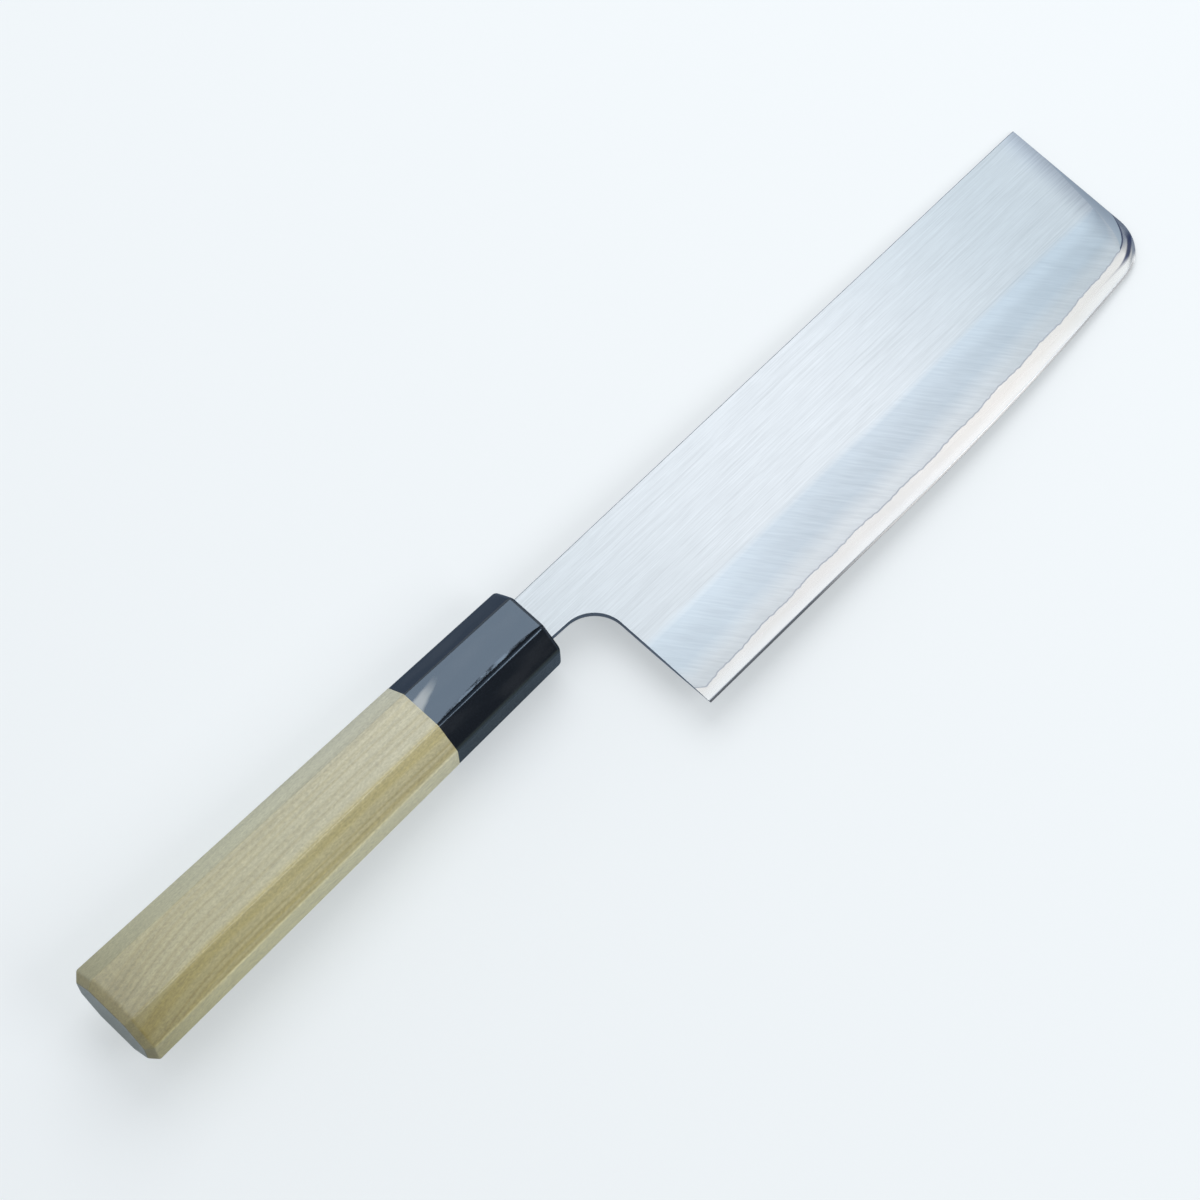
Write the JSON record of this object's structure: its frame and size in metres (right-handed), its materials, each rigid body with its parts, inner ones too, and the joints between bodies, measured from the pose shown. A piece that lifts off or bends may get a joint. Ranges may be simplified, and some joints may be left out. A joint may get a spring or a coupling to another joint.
{
  "type": "nakiri knife",
  "caption": "Japanese vegetable knife: straight laminated blade with a square front end, set by its tang into a tapered octagonal wooden handle with a black horn ferrule.",
  "frame": {"origin": "middle of the bottom of the bounding box: the knife lies on its left face, as it lies on a board, and the butt's lowest facet is at Z = 0", "axes": "+X along the handle from the butt to the blade's front end, +Y from the cutting edge up to the spine, +Z out of the blade's right face"},
  "size_m": [0.3154, 0.0578, 0.0219],
  "materials": {
    "core_steel": "finely ground hard steel, brighter than the cladding",
    "cladding": "soft steel, brushed lengthwise above the bevel and ground across it below",
    "grip_wood": "pale magnolia, sanded smooth and unvarnished",
    "horn": "polished black buffalo horn",
    "bedding": "set adhesive"
  },
  "bodies": {
    "root": {"core_steel": "core_steel", "right_cladding": "cladding", "left_cladding": "cladding", "grip": "grip_wood", "ferrule": "horn", "tang_bedding": "bedding"}
  },
  "joints": []
}
